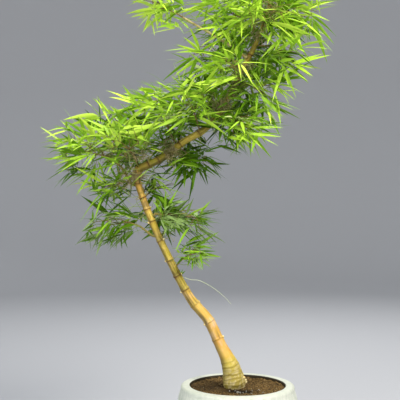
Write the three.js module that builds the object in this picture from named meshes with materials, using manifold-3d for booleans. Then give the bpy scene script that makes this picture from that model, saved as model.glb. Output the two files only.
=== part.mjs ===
// Potted bamboo: one old culm that leans out of a glazed bowl pot, turns sharply at a node and climbs
// back over the pot, with sprays of long narrow leaves round its upper half.
//
// Millimetres, +Z up. The origin is the centre of the pot's flat underside. +X is the viewer's right
// when the plant is seen from the front, and +Y points away from the viewer.
import * as THREE from 'three';
import { mergeVertices } from 'three/addons/utils/BufferGeometryUtils.js';
import Module from 'manifold-3d';

const wasm = await Module();
wasm.setup();

// ---------------------------------------------------------------- driving dimensions

// Pot: a turned bowl with a thick rounded lip.
const POT_HEIGHT = 260;
const LIP_RADIUS = 148;
const LIP_HEIGHT = 12;
const OPENING_RADIUS = 124;
const SHOULDER_RADIUS = 155;
const SHOULDER_HEIGHT = 220;
const BELLY_RADIUS = 160;
const BELLY_HEIGHT = 158;
const FLANK_RADIUS = 132;
const FLANK_HEIGHT = 62;
const FOOT_RADIUS = 106;
const FOOT_ROUNDING = 5;
const POT_WALL = 22;
const POT_FLOOR = 24;
// The inside is this much wider at the floor than at the opening, where the wall leaves room for it.
const INSIDE_FLARE = 14;
const LIP_TO_SOIL = 10;
const SOIL_LEVEL = POT_HEIGHT - LIP_TO_SOIL;
const ROUND_SEGMENTS = 32;
const OUTER_STEPS = 7;
const INNER_STEPS = 2;
const LIP_STEPS = 4;

// Pieces that touch in the real plant stand this far apart.
const CLEARANCE = 0.3;

// The culm's axis, from the soil to the sharp turn and from the turn to the tip.
// Each station is [sideways, depth, height above the soil, radius].
const LOWER_CULM = [
  [-7, 0, 0, 32],
  [-14, 0, 45, 24],
  [-22, 1, 70, 20],
  [-37, 2, 97, 15.5],
  [-53, 3, 131, 14],
  [-76, 4, 178, 14],
  [-101, 4, 206, 13],
  [-122, 3, 232, 12],
  [-143, 1, 268, 10.5],
  [-189, -3, 360, 9.6],
  [-222, -6, 434, 9],
  [-250, -7, 506, 8.3],
  [-262, -7, 548, 8.6],
  [-260, -7, 569, 9.8],
];
const UPPER_CULM = [
  [-260, -7, 569, 10.2],
  [-232, -5, 580, 10],
  [-182, 0, 607, 9.2],
  [-139, 5, 642, 8.9],
  [-85, 8, 673, 8.6],
  [-30, 6, 745, 8],
  [12, 0, 828, 7.2],
  [46, -6, 891, 6.3],
  [84, -4, 997, 4.8],
  [88, 2, 1060, 3.6],
  [66, 4, 1128, 1.8],
];
const CULM_SIDES = 8;
const AXIS_PITCH = 9;
const NODE_SPACING = 47;
const NODE_HALF_WIDTH = 5;
const NODE_SWELL = 1.12;
const FIRST_LOWER_NODE = 113;
const FIRST_UPPER_NODE = 38;
const FLARE_RINGS = 3;

// Boughs that show between the culm and an outlying mass. Each leaves the culm just above the node
// nearest the height of its foot above the soil, and ends at its tip, a place like the culm's stations.
const BOUGH_TAPER = 0.6;
const BOUGH_ARCH = 0.06;
const BOUGH_ARCH_PLACE = 0.6;
const BOUGH_SIDES = 6;
const BOUGH_STEPS = 6;
const BOUGHS = [
  { name: 'bough_low_left', host: 'culm_lower', foot: 405, tip: [-276, -14, 429], radius: 3.4 },
  { name: 'bough_low_right', host: 'culm_lower', foot: 430, tip: [-180, -14, 452], radius: 3.2 },
  { name: 'bough_left', host: 'culm_lower', foot: 540, tip: [-322, -16, 592], radius: 4.4 },
  { name: 'bough_upper_left', host: 'culm_upper', foot: 830, tip: [-142, -10, 972], radius: 4.2 },
];

// Masses of foliage: the limb that carries them, the centre of their space as
// [sideways, depth, height above the soil], and its radius. A space is a ball, a little flattened.
const FLATTENING = 0.8;
const MASSES = [
  { name: 'leaves_low_left', host: 'bough_low_left', centre: [-322, -10, 432], radius: 98 },
  { name: 'leaves_low_right', host: 'bough_low_right', centre: [-122, -8, 442], radius: 92 },
  { name: 'leaves_low_right_under', host: 'culm_lower', centre: [-112, -24, 372], radius: 74 },
  { name: 'leaves_low_back', host: 'culm_lower', centre: [-190, 88, 446], radius: 84 },
  { name: 'leaves_under_turn', host: 'culm_lower', centre: [-200, 34, 530], radius: 76 },
  { name: 'leaves_left_under', host: 'culm_lower', centre: [-336, 24, 538], radius: 80 },
  { name: 'leaves_left_tip', host: 'bough_left', centre: [-388, -18, 614], radius: 124 },
  { name: 'leaves_left_top', host: 'culm_upper', centre: [-302, 20, 694], radius: 112 },
  { name: 'leaves_left_front', host: 'culm_upper', centre: [-296, -104, 622], radius: 98 },
  { name: 'leaves_left_back', host: 'culm_upper', centre: [-272, 112, 640], radius: 108 },
  { name: 'leaves_turn_top', host: 'culm_upper', centre: [-196, -24, 720], radius: 104 },
  { name: 'leaves_turn_back', host: 'culm_upper', centre: [-160, 106, 668], radius: 106 },
  { name: 'leaves_middle_front', host: 'culm_upper', centre: [-126, -98, 734], radius: 92 },
  { name: 'leaves_middle_under', host: 'culm_upper', centre: [-114, 30, 592], radius: 84 },
  { name: 'leaves_middle_top', host: 'culm_upper', centre: [-106, 10, 778], radius: 100 },
  { name: 'leaves_right_low', host: 'culm_upper', centre: [16, -26, 686], radius: 104 },
  { name: 'leaves_right_back', host: 'culm_upper', centre: [-4, 110, 736], radius: 106 },
  { name: 'leaves_right', host: 'culm_upper', centre: [64, 6, 780], radius: 108 },
  { name: 'leaves_centre_front', host: 'culm_upper', centre: [-20, -104, 806], radius: 98 },
  { name: 'leaves_upper_left', host: 'culm_upper', centre: [-78, 0, 862], radius: 112 },
  { name: 'leaves_upper_right', host: 'culm_upper', centre: [126, -6, 870], radius: 110 },
  { name: 'leaves_upper_back', host: 'culm_upper', centre: [42, 110, 884], radius: 106 },
  { name: 'leaves_upper_front', host: 'culm_upper', centre: [74, -100, 950], radius: 98 },
  { name: 'leaves_spray_left', host: 'bough_upper_left', centre: [-204, -12, 996], radius: 98 },
  { name: 'leaves_top_left', host: 'culm_upper', centre: [-22, 8, 980], radius: 108 },
  { name: 'leaves_top_right', host: 'culm_upper', centre: [160, 0, 970], radius: 106 },
  { name: 'leaves_top_back', host: 'culm_upper', centre: [88, 104, 1026], radius: 98 },
  { name: 'leaves_crest_left', host: 'culm_upper', centre: [16, -14, 1094], radius: 96 },
  { name: 'leaves_crest_right', host: 'culm_upper', centre: [122, -10, 1088], radius: 92 },
];

// The rule that every mass grows by.
const STEM_RADIUS = 2.6;
const STEM_STEPS = 3;
const STEM_DROP = 0.3;
const STEM_TIP = 0.7;
const TWIGS_PER_MASS = 4;
const TWIG_RADIUS = 1.5;
const TWIG_TAPER = 0.7;
const TWIG_REACHES = [0.4, 0.32, 0.24];
const TWIG_LIFT = 0.05;
const TWIG_SIDES = 3;
// Twigs aim from near the mass's top to near its bottom, and leave its stem between two shares of it.
const TOP_RISE = 0.66;
const BOTTOM_RISE = -0.54;
const RISE_JITTER = 0.12;
const TURN_JITTER = 0.3;
const FIRST_TWIG = 0.55;
const LAST_TWIG = 0.76;
const LEAVES_PER_SPRAY = 5;
const SPRAY_CONE = 1.35;
const SPRAY_OUTWARD = 0.6;
const LEAF_LENGTH = 118;
const LEAF_WIDTH = 27;
const LEAF_THICKNESS = 2.6;
const LEAF_WIDEST = 0.42;
const LEAF_SIZES = [1, 0.92, 0.84, 0.76, 0.68, 0.6, 0.52];
const LEAF_TRIES = 14;
const LEAF_SUNK = 5;
const LEAF_SPACING = 6;
const LEAF_ROLL = 1.1;
const LEAF_DROOP = 0.12;
const CROWDING = 0.6;
const LIMB_GAP = 1;
const SPACE_GAP = 0.6;
// A branch leaves its limb this far above a node, at this slope along the limb against away from it,
// and runs straight for this many of its own radii.
const ABOVE_NODE = 4;
const DEPARTURE = 0.8;
const STRAIGHT_START = 3;
const GOLDEN_ANGLE = Math.PI * (3 - Math.sqrt(5));
const FIRST_SEED = 101;
const SEED_STEP = 37;

// ---------------------------------------------------------------- materials

const material = (color, roughness) => new THREE.MeshStandardMaterial({ color, roughness, metalness: 0 });
const GLAZE = 0xe3e5d8;
const EARTH = 0x4b3826;
const CULM_GOLD = 0xd9b45a;
const BOUGH_STRAW = 0xb9a266;
const LEAF_GREEN = 0x79b82a;

// ---------------------------------------------------------------- small tools

// Repeatable numbers from 0 to 1, the same on every run.
function seeded(seed) {
  let state = seed >>> 0;
  return () => {
    state = (state + 0x6d2b79f5) >>> 0;
    let mixed = Math.imul(state ^ (state >>> 15), state | 1);
    mixed ^= mixed + Math.imul(mixed ^ (mixed >>> 7), mixed | 61);
    return ((mixed ^ (mixed >>> 14)) >>> 0) / 4294967296;
  };
}

const UP = new THREE.Vector3(0, 0, 1);
const directionTo = (from, to) => to.clone().sub(from).normalize();
const aboveSoil = ([x, y, height]) => new THREE.Vector3(x, y, SOIL_LEVEL + height);

function closedMesh(corners, index) {
  const geometry = new THREE.BufferGeometry().setFromPoints(corners);
  geometry.setIndex(index);
  return geometry;
}

function asManifold(geometry) {
  const bare = geometry.clone();
  bare.deleteAttribute('normal');
  bare.deleteAttribute('uv');
  const merged = mergeVertices(bare);
  return new wasm.Manifold(
    new wasm.Mesh({
      numProp: 3,
      vertProperties: Float32Array.from(merged.attributes.position.array),
      triVerts: Uint32Array.from(merged.index.array),
    }),
  );
}

// The largest closed shell of a joined solid: loose scraps and sealed hollows are left behind.
function largestShell(solid) {
  const { vertProperties, triVerts } = solid.getMesh();
  const parent = Array.from({ length: vertProperties.length / 3 }, (_, index) => index);
  const root = (index) => {
    while (parent[index] !== index) {
      parent[index] = parent[parent[index]];
      index = parent[index];
    }
    return index;
  };
  for (let t = 0; t < triVerts.length; t += 3) {
    parent[root(triVerts[t])] = root(triVerts[t + 1]);
    parent[root(triVerts[t + 2])] = root(triVerts[t + 1]);
  }
  const shells = new Map();
  for (let t = 0; t < triVerts.length; t += 3) {
    const key = root(triVerts[t]);
    const shell = shells.get(key) ?? [];
    shell.push(triVerts[t], triVerts[t + 1], triVerts[t + 2]);
    shells.set(key, shell);
  }
  const largest = [...shells.values()].reduce((best, shell) => (shell.length > best.length ? shell : best));
  const geometry = new THREE.BufferGeometry();
  geometry.setAttribute('position', new THREE.BufferAttribute(Float32Array.from(vertProperties), 3));
  geometry.setIndex(largest);
  return geometry.toNonIndexed();
}

// The corners of the rings of a limb, each ring given as { centre, radius, normal }. A ring lies in the
// plane of its normal where it has one, so that an end can be cut flat or mitred, or else square.
function ringCorners(rings, sides) {
  let side = new THREE.Vector3(0, 1, 0);
  return rings.map((ring, i) => {
    const before = rings[Math.max(i - 1, 0)].centre;
    const after = rings[Math.min(i + 1, rings.length - 1)].centre;
    const along = directionTo(before, after);
    side = side.clone().addScaledVector(along, -side.dot(along)).normalize();
    const other = along.clone().cross(side);
    const normal = ring.normal ?? along;
    return Array.from({ length: sides }, (_, s) => {
      const angle = (2 * Math.PI * s) / sides;
      const spoke = side.clone().multiplyScalar(Math.cos(angle)).addScaledVector(other, Math.sin(angle));
      spoke.multiplyScalar(ring.radius);
      spoke.addScaledVector(along, -spoke.dot(normal) / along.dot(normal));
      return ring.centre.clone().add(spoke);
    });
  });
}

// A closed tube through rings, with flat ends.
function tube(rings, sides) {
  const corners = ringCorners(rings, sides).flat();
  const index = [];
  for (let i = 0; i + 1 < rings.length; i++) {
    for (let s = 0; s < sides; s++) {
      const a = i * sides + s;
      const b = i * sides + ((s + 1) % sides);
      index.push(a, b, b + sides, a, b + sides, a + sides);
    }
  }
  const last = (rings.length - 1) * sides;
  for (let s = 1; s + 1 < sides; s++) {
    index.push(0, s + 1, s);
    index.push(last, last + s, last + s + 1);
  }
  return closedMesh(corners, index);
}

// ---------------------------------------------------------------- pot and soil

function turned(profile) {
  return new THREE.LatheGeometry(profile, ROUND_SEGMENTS).rotateX(Math.PI / 2);
}

const LIP_FOOT = POT_HEIGHT - LIP_HEIGHT;
const outerWall = new THREE.SplineCurve([
  new THREE.Vector2(FOOT_RADIUS, FOOT_ROUNDING),
  new THREE.Vector2(FLANK_RADIUS, FLANK_HEIGHT),
  new THREE.Vector2(BELLY_RADIUS, BELLY_HEIGHT),
  new THREE.Vector2(SHOULDER_RADIUS, SHOULDER_HEIGHT),
  new THREE.Vector2(LIP_RADIUS, LIP_FOOT),
]);

// The outer wall's radius at a height, between the two nearest of many points along it.
const wallPoints = outerWall.getPoints(60);
function outerRadius(height) {
  const above = wallPoints.findIndex((point) => point.y >= height);
  const high = wallPoints.at(above);
  const low = wallPoints[Math.max(wallPoints.indexOf(high), 1) - 1];
  return THREE.MathUtils.mapLinear(height, low.y, high.y, low.x, high.x);
}

// The inner wall keeps a wall's thickness inside the outer one, from the floor up to the soil's level.
function innerWall(inset) {
  const bottom = POT_FLOOR + inset;
  const top = SOIL_LEVEL - inset;
  return Array.from({ length: INNER_STEPS + 1 }, (_, i) => {
    const height = THREE.MathUtils.lerp(bottom, top, i / INNER_STEPS);
    const widest = OPENING_RADIUS + INSIDE_FLARE * (1 - i / INNER_STEPS);
    const radius = Math.min(outerRadius(height) - POT_WALL, widest) - inset;
    return new THREE.Vector2(radius, height);
  });
}

function pot() {
  const profile = [new THREE.Vector2(0, 0), new THREE.Vector2(FOOT_RADIUS - FOOT_ROUNDING, 0)];
  profile.push(...outerWall.getPoints(OUTER_STEPS));
  // The lip is a half round that is thicker than it is high.
  const middle = (LIP_RADIUS + OPENING_RADIUS) / 2;
  const half = (LIP_RADIUS - OPENING_RADIUS) / 2;
  for (let i = 1; i <= LIP_STEPS; i++) {
    const angle = (Math.PI * i) / (LIP_STEPS + 1);
    profile.push(new THREE.Vector2(middle + half * Math.cos(angle), LIP_FOOT + LIP_HEIGHT * Math.sin(angle)));
  }
  profile.push(new THREE.Vector2(OPENING_RADIUS, LIP_FOOT));
  profile.push(...innerWall(0).reverse().slice(1));
  profile.push(new THREE.Vector2(0, POT_FLOOR));
  return turned(profile);
}

function soil() {
  const wall = innerWall(CLEARANCE);
  wall[wall.length - 1].y = SOIL_LEVEL;
  return turned([
    new THREE.Vector2(0, POT_FLOOR + CLEARANCE),
    ...wall,
    new THREE.Vector2(0, SOIL_LEVEL),
  ]);
}

// ---------------------------------------------------------------- culm and boughs

// A limb's axis as points a short step apart, each with the radius there.
function limbAxis(stations) {
  const curve = new THREE.CatmullRomCurve3(stations.map(aboveSoil), false, 'centripetal');
  const length = curve.getLength();
  const steps = Math.round(length / AXIS_PITCH);
  const spans = stations.length - 1;
  return Array.from({ length: steps + 1 }, (_, i) => {
    const t = curve.getUtoTmapping(i / steps);
    const span = Math.min(Math.floor(t * spans), spans - 1);
    const radius = THREE.MathUtils.lerp(stations[span][3], stations[span + 1][3], t * spans - span);
    return { centre: curve.getPoint(t), radius, travelled: (length * i) / steps };
  });
}

// Rings for a culm: three over each node's swelling, the last of them marked as a seat for branches,
// and a plain one midway to the next.
function culmRings(stations, firstNode) {
  const axis = limbAxis(stations);
  const length = axis[axis.length - 1].travelled;
  const at = (distance) => {
    const step = (distance / length) * (axis.length - 1);
    const i = Math.min(Math.floor(step), axis.length - 2);
    return {
      centre: axis[i].centre.clone().lerp(axis[i + 1].centre, step - i),
      radius: THREE.MathUtils.lerp(axis[i].radius, axis[i + 1].radius, step - i),
    };
  };
  const rings = [at(0)];
  for (let i = 1; i <= FLARE_RINGS; i++) rings.push(at((firstNode * i) / (FLARE_RINGS + 1)));
  for (let node = firstNode; node < length - NODE_SPACING / 2; node += NODE_SPACING) {
    const swollen = at(node);
    swollen.radius *= NODE_SWELL;
    rings.push(at(node - NODE_HALF_WIDTH), swollen);
    rings.push({ ...at(node + NODE_HALF_WIDTH), seat: true }, at(node + NODE_SPACING / 2));
  }
  rings.push(at(length));
  return rings;
}

const lowerRings = culmRings(LOWER_CULM, FIRST_LOWER_NODE);
const upperRings = culmRings(UPPER_CULM, FIRST_UPPER_NODE);

// The culm is cut flat at the soil, and its two lengths meet at the turn in a mitre.
const lowerEnd = directionTo(lowerRings.at(-2).centre, lowerRings.at(-1).centre);
const upperStart = directionTo(upperRings[0].centre, upperRings[1].centre);
const mitre = lowerEnd.clone().add(upperStart).normalize();
lowerRings[0].centre.z = SOIL_LEVEL + CLEARANCE;
lowerRings[0].normal = UP;
lowerRings.at(-1).centre.addScaledVector(lowerEnd, -CLEARANCE / 2 / lowerEnd.dot(mitre));
lowerRings.at(-1).normal = mitre;
upperRings[0].centre.addScaledVector(upperStart, CLEARANCE / 2 / upperStart.dot(mitre));
upperRings[0].normal = mitre;

const limbs = new Map([
  ['culm_lower', lowerRings],
  ['culm_upper', upperRings],
]);

// Where a branch stands on a culm: the facet just above the node nearest a point, on the side that
// faces a target. The foot is clear of the facet, and the branch leaves square to it and up the limb.
function seatOn(hostName, near, target) {
  const rings = limbs.get(hostName);
  const corners = ringCorners(rings, CULM_SIDES);
  const seats = rings.map((_, i) => i).filter((i) => rings[i].seat);
  const gap = (i) => rings[i].centre.distanceTo(near);
  const ring = seats.reduce((best, i) => (gap(i) < gap(best) ? i : best));
  let facing;
  for (let s = 0; s < CULM_SIDES; s++) {
    const next = (s + 1) % CULM_SIDES;
    const low = corners[ring][s].clone().lerp(corners[ring][next], 0.5);
    const high = corners[ring + 1][s].clone().lerp(corners[ring + 1][next], 0.5);
    const along = directionTo(low, high);
    const out = corners[ring][next].clone().sub(corners[ring][s]).cross(along).normalize();
    const towards = out.dot(directionTo(rings[ring].centre, target));
    if (!facing || towards > facing.towards) facing = { towards, low, along, out };
  }
  const { low, along, out } = facing;
  const foot = low.clone().addScaledVector(along, ABOVE_NODE).addScaledVector(out, CLEARANCE);
  const away = out.clone().addScaledVector(along, DEPARTURE).normalize();
  return { foot, out, away };
}

function boughRings({ host, foot: height, tip, radius }) {
  const atHeight = limbs.get(host).find((ring) => ring.centre.z > SOIL_LEVEL + height).centre;
  const end = aboveSoil(tip);
  const { foot, out, away } = seatOn(host, atHeight, end);
  const curve = new THREE.CatmullRomCurve3([
    foot,
    foot.clone().addScaledVector(away, STRAIGHT_START * radius),
    foot.clone().lerp(end, BOUGH_ARCH_PLACE).addScaledVector(UP, BOUGH_ARCH * foot.distanceTo(end)),
    end,
  ]);
  return curve.getPoints(BOUGH_STEPS).map((centre, i) => ({
    centre,
    radius: radius * THREE.MathUtils.lerp(1, BOUGH_TAPER, i / BOUGH_STEPS),
    normal: i === 0 ? out : undefined,
  }));
}

for (const bough of BOUGHS) limbs.set(bough.name, boughRings(bough));

// ---------------------------------------------------------------- masses of foliage

const spaces = MASSES.map(({ name, host, centre, radius }, number) => ({
  name,
  host,
  number,
  radius,
  centre: aboveSoil(centre),
}));
const flatten = (point) => new THREE.Vector3(point.x, point.y, point.z / FLATTENING);

// A mass keeps to its ball, and to its own side of the plane where its ball crosses a neighbour's.
function inSpace(space, point) {
  const here = flatten(point);
  const own = here.distanceToSquared(flatten(space.centre)) - space.radius ** 2;
  if (own > 0) return false;
  return spaces.every((other) => {
    if (other === space) return true;
    const between = flatten(other.centre).distanceTo(flatten(space.centre));
    const theirs = here.distanceToSquared(flatten(other.centre)) - other.radius ** 2;
    return theirs - own > 2 * between * SPACE_GAP;
  });
}

// The shortest distance between two straight pieces a-b and c-d.
function pieceDistance(a, b, c, d) {
  const u = b.clone().sub(a);
  const v = d.clone().sub(c);
  const w = a.clone().sub(c);
  const [uu, uv, vv, uw, vw] = [u.dot(u), u.dot(v), v.dot(v), u.dot(w), v.dot(w)];
  const spread = uu * vv - uv * uv;
  let s = spread > 1e-9 ? THREE.MathUtils.clamp((uv * vw - vv * uw) / spread, 0, 1) : 0;
  const t = THREE.MathUtils.clamp((uv * s + vw) / vv, 0, 1);
  s = THREE.MathUtils.clamp((uv * t - uw) / uu, 0, 1);
  return a.clone().addScaledVector(u, s).distanceTo(c.clone().addScaledVector(v, t));
}

// Whether a straight piece of the given half width stays clear of a limb or of another mass's stem.
function clearOf(rings, from, to, halfWidth) {
  for (let i = 0; i + 1 < rings.length; i++) {
    const room = Math.max(rings[i].radius, rings[i + 1].radius) + halfWidth + LIMB_GAP;
    if (pieceDistance(from, to, rings[i].centre, rings[i + 1].centre) < room) return false;
  }
  return true;
}

// A mass's stem goes on from its bough's tip, or leaves the culm below the mass, and bends to its middle.
function stemOf(space) {
  let foot;
  let out;
  let away;
  if (space.host.startsWith('bough')) {
    const rings = limbs.get(space.host);
    out = directionTo(rings.at(-2).centre, rings.at(-1).centre);
    away = out;
    foot = rings.at(-1).centre.clone().addScaledVector(out, CLEARANCE);
  } else {
    const below = space.centre.clone().addScaledVector(UP, -STEM_DROP * space.radius);
    ({ foot, out, away } = seatOn(space.host, below, space.centre));
  }
  const start = foot.clone().addScaledVector(away, STRAIGHT_START * STEM_RADIUS);
  const bend = start.clone().lerp(space.centre, 0.5);
  const curve = new THREE.CatmullRomCurve3([foot, start, bend, space.centre]);
  return curve.getPoints(STEM_STEPS).map((centre, i) => ({
    centre,
    radius: STEM_RADIUS * THREE.MathUtils.lerp(1, STEM_TIP, i / STEM_STEPS),
    normal: i === 0 ? out : undefined,
  }));
}

for (const space of spaces) space.stem = stemOf(space);

function isFree(space, from, to, halfWidth) {
  const others = spaces.filter((other) => other !== space).map((other) => other.stem);
  return [...limbs.values(), ...others].every((rings) => clearOf(rings, from, to, halfWidth));
}

// A leaf: a long thin diamond, widest in its first half, rolled about its own length.
function leaf(base, aim, roll, size) {
  const length = LEAF_LENGTH * size;
  const level = aim.clone().cross(UP).normalize();
  const side = level.applyAxisAngle(aim, roll);
  const face = side.clone().cross(aim).normalize();
  const widest = base.clone().addScaledVector(aim, length * LEAF_WIDEST);
  const corners = [
    base,
    base.clone().addScaledVector(aim, length),
    widest.clone().addScaledVector(side, (LEAF_WIDTH * size) / 2),
    widest.clone().addScaledVector(side, (-LEAF_WIDTH * size) / 2),
    widest.clone().addScaledVector(face, LEAF_THICKNESS / 2),
    widest.clone().addScaledVector(face, -LEAF_THICKNESS / 2),
  ];
  const faces = [0, 2, 4, 0, 4, 3, 0, 3, 5, 0, 5, 2, 1, 4, 2, 1, 3, 4, 1, 5, 3, 1, 2, 5];
  return { base, aim, length, width: LEAF_WIDTH * size, corners, geometry: closedMesh(corners, faces) };
}

// A leaf fits where its corners are in the mass's space and its blade, taken in stretches of their own
// half width, is clear of every limb, of the other stems, and past its foot of what the mass has grown.
const STRETCHES = [
  [0, 0.15, 0.22],
  [0.15, 0.6, 0.5],
  [0.6, 1, 0.3],
];
function stretchesOf(blade) {
  return STRETCHES.map(([start, end, share]) => ({
    from: blade.base.clone().addScaledVector(blade.aim, start * blade.length),
    to: blade.base.clone().addScaledVector(blade.aim, end * blade.length),
    halfWidth: blade.width * share,
  }));
}
function fits(space, blade, grown) {
  if (!blade.corners.every((corner) => inSpace(space, corner))) return false;
  const stretches = stretchesOf(blade);
  const touches = (a, b) =>
    pieceDistance(a.from, a.to, b.from, b.to) < CROWDING * (a.halfWidth + b.halfWidth);
  if (stretches.slice(1).some((stretch) => grown.some((other) => touches(stretch, other)))) return false;
  return stretches.every(({ from, to, halfWidth }) => isFree(space, from, to, halfWidth));
}

// The twigs of a mass aim evenly all round it, and each carries a spray of leaves at its end.
function grow(space) {
  const random = seeded(FIRST_SEED + SEED_STEP * space.number);
  const jitter = (amount) => (random() - 0.5) * 2 * amount;
  const pieces = [tube(space.stem, TWIG_SIDES)];
  const twigs = [];
  const grown = [];
  const turn = random() * 2 * Math.PI;
  for (let k = 0; k < TWIGS_PER_MASS; k++) {
    const share = k / (TWIGS_PER_MASS - 1);
    const rise = THREE.MathUtils.lerp(TOP_RISE, BOTTOM_RISE, share) + jitter(RISE_JITTER);
    const round = turn + k * GOLDEN_ANGLE + jitter(TURN_JITTER);
    const level = Math.sqrt(Math.max(1 - rise * rise, 0));
    const aim = new THREE.Vector3(level * Math.cos(round), level * Math.sin(round), rise * FLATTENING);
    const step = (k % 2 ? LAST_TWIG : FIRST_TWIG) * STEM_STEPS;
    const low = Math.floor(step);
    const from = space.stem[low].centre.clone().lerp(space.stem[low + 1].centre, step - low);
    for (const reach of TWIG_REACHES) {
      const tip = space.centre.clone().addScaledVector(aim, reach * space.radius);
      const middle = from.clone().lerp(tip, 0.5).addScaledVector(UP, TWIG_LIFT * space.radius);
      const open =
        inSpace(space, middle) &&
        inSpace(space, tip) &&
        isFree(space, from, middle, TWIG_RADIUS) &&
        isFree(space, middle, tip, TWIG_RADIUS);
      if (!open) continue;
      const rings = [from, middle, tip].map((centre, i) => ({
        centre,
        radius: TWIG_RADIUS * THREE.MathUtils.lerp(1, TWIG_TAPER, i / 2),
      }));
      pieces.push(tube(rings, TWIG_SIDES));
      twigs.push({ middle, tip });
      grown.push({ from, to: middle, halfWidth: TWIG_RADIUS });
      grown.push({ from: middle, to: tip, halfWidth: TWIG_RADIUS });
      break;
    }
  }
  // The sprays fill a leaf at a time in turn, so that none takes all the room.
  for (let j = 0; j < LEAVES_PER_SPRAY; j++) {
    for (const twig of twigs) {
      const blade = longestLeaf(space, twig, j, grown, jitter);
      if (!blade) continue;
      pieces.push(blade.geometry);
      grown.push(...stretchesOf(blade).slice(1));
    }
  }
  return largestShell(wasm.Manifold.union(pieces.map(asManifold)));
}

// The longest leaf, of a few tries in a cone about the way out, that fits at this place on a twig.
function longestLeaf(space, { middle, tip }, place, grown, jitter) {
  const ahead = tip.clone().sub(middle).normalize();
  const outward = tip.clone().sub(space.centre).normalize();
  const main = ahead.lerp(outward, SPRAY_OUTWARD).normalize();
  const across = main.clone().cross(UP).normalize();
  const base = tip.clone().lerp(middle, (LEAF_SUNK + LEAF_SPACING * place) / tip.distanceTo(middle));
  let longest;
  for (let attempt = 0; attempt < LEAF_TRIES; attempt++) {
    const lean = SPRAY_CONE * Math.sqrt(Math.abs(jitter(1)));
    const sideways = across.clone().applyAxisAngle(main, jitter(Math.PI));
    const aim = main.clone().multiplyScalar(Math.cos(lean)).addScaledVector(sideways, Math.sin(lean));
    aim.addScaledVector(UP, -LEAF_DROOP).normalize();
    const roll = jitter(LEAF_ROLL);
    for (const size of LEAF_SIZES) {
      if (longest && size * LEAF_LENGTH <= longest.length) break;
      const blade = leaf(base, aim, roll, size);
      if (fits(space, blade, grown)) longest = blade;
    }
  }
  return longest;
}

// ---------------------------------------------------------------- assembly

const plant = new THREE.Group();

function add(name, geometry, finish) {
  const mesh = new THREE.Mesh(geometry, finish);
  mesh.name = name;
  plant.add(mesh);
}

add('pot', pot(), material(GLAZE, 0.55));
add('soil', soil(), material(EARTH, 0.95));
add('culm_lower', tube(lowerRings, CULM_SIDES), material(CULM_GOLD, 0.5));
add('culm_upper', tube(upperRings, CULM_SIDES), material(CULM_GOLD, 0.5));
for (const { name } of BOUGHS) {
  add(name, tube(limbs.get(name), BOUGH_SIDES), material(BOUGH_STRAW, 0.7));
}
for (const space of spaces) {
  add(space.name, grow(space), material(LEAF_GREEN, 0.6));
}

export default plant;
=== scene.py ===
"""Looks of the potted bamboo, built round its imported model: metres, +Z up, the plant's front towards -Y."""
import random
from math import cos, hypot, pi, radians, sin, sqrt

import bpy
import numpy as np
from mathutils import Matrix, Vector, noise
from numpy.linalg import norm


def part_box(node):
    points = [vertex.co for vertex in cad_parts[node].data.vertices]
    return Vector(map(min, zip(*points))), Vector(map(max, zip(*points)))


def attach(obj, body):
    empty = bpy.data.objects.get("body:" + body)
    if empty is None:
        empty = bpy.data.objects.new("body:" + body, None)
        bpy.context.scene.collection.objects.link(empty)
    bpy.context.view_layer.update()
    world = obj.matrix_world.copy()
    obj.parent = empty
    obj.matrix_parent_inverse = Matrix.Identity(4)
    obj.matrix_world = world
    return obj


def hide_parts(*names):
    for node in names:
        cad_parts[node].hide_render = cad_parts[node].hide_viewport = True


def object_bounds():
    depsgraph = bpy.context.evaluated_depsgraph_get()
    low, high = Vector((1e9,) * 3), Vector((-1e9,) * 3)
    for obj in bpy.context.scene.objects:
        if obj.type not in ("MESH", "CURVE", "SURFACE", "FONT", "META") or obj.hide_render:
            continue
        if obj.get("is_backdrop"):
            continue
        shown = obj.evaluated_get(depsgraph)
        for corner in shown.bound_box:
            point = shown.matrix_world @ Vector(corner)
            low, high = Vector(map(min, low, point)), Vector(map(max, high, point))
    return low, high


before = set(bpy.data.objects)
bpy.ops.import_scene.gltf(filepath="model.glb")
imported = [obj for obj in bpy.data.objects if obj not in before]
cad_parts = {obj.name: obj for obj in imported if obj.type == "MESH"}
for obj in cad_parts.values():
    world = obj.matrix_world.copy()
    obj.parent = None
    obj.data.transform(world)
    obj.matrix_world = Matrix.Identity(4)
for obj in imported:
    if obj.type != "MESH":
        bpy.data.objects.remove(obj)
cad_low, cad_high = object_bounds()

MM = 0.001
UP = np.array([0.0, 0.0, 1.0])
FRONT = np.array([0.0, -1.0, 0.0])
GOLDEN_ANGLE = pi * (3 - sqrt(5))

# ---- driving dimensions

# Pot, in millimetres: a turned bowl with a thick rounded lip, the same form as the model's.
POT_HEIGHT = 260
LIP_RADIUS = 148
LIP_HEIGHT = 12
LIP_ROUNDING = 8
EDGE_ROUNDING = 3.5
OPENING_RADIUS = 124
# Radius and height.
SHOULDER = (155, 220)
BELLY = (160, 158)
FLANK = (132, 62)
FOOT_RADIUS = 106
FOOT_ROUNDING = 5
FOOT_RECESS = 3
POT_TURNS = 300
POT_STEP = 1.7

# Soil: its level in metres, the rest in millimetres. Places are so far to the right of the culm's foot and
# behind it.
SOIL_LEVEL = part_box("soil")[1].z
SOIL_RADIUS = 123.4
SOIL_RINGS = 74
SOIL_TURNS = 190
SOIL_SIDE_RADIUS = 120
SOIL_SIDE_DEPTH = 12
HOLLOW_PLACE = (12, -44)
DAMP_SHADE_PLACE = (12, -46)
ROOTLET_PLACE = (14, -34)
SHADE_PLACE = (-70, 0)
CRUMBS = 2600
CRUMB_SIZES = (0.8, 3.8, 1.4)
GRIT = 150
GRIT_SIZES = (0.7, 1.5)
CRUMB_RADIUS = 121
ROOTLETS = 15
ROOTLET_STEP = 2.2
ROOTLET_RADII = (0.6, 0.35)

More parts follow.
